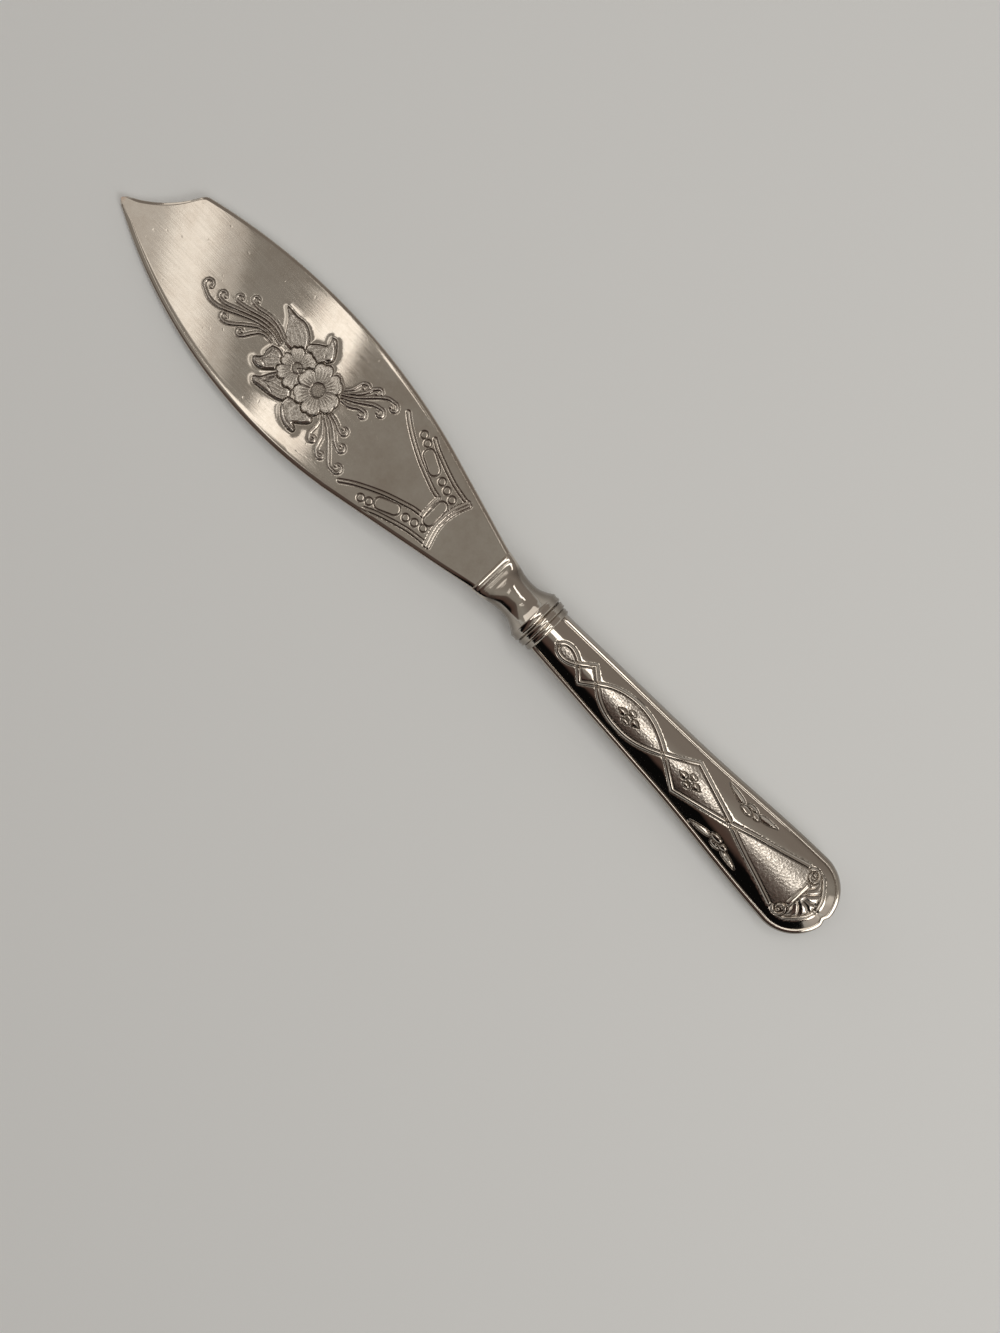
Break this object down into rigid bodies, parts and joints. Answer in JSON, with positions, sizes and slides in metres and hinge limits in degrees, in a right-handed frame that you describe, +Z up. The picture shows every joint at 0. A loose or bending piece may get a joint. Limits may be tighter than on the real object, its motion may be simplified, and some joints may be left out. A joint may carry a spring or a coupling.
{
  "type": "pie server",
  "caption": "Silver-plated pie server with a broad asymmetric blade carrying a chased flower spray, a slotted bolster, a ringed ferrule and a hollow stamped handle.",
  "frame": {"origin": "on the surface it lies on, under the middle of the bounding box", "axes": "+X from the handle to the blade's tip, +Y towards the long edge that ends in the tip, +Z up out of the decorated face"},
  "size_m": [0.26, 0.0388, 0.0156],
  "materials": {
    "blade_silver": "worn silver plate with fine scratches along the blade",
    "bolster_silver": "polished silver plate with dark grooves",
    "handle_silver": "polished silver plate with stippled grounds",
    "cement": "dull set filler, not seen"
  },
  "bodies": {
    "root": {"blade": "blade_silver", "bolster": "bolster_silver", "ferrule": "bolster_silver", "handle_front_shell": "handle_silver", "handle_back_shell": "handle_silver", "handle_cement": "cement"}
  },
  "joints": []
}
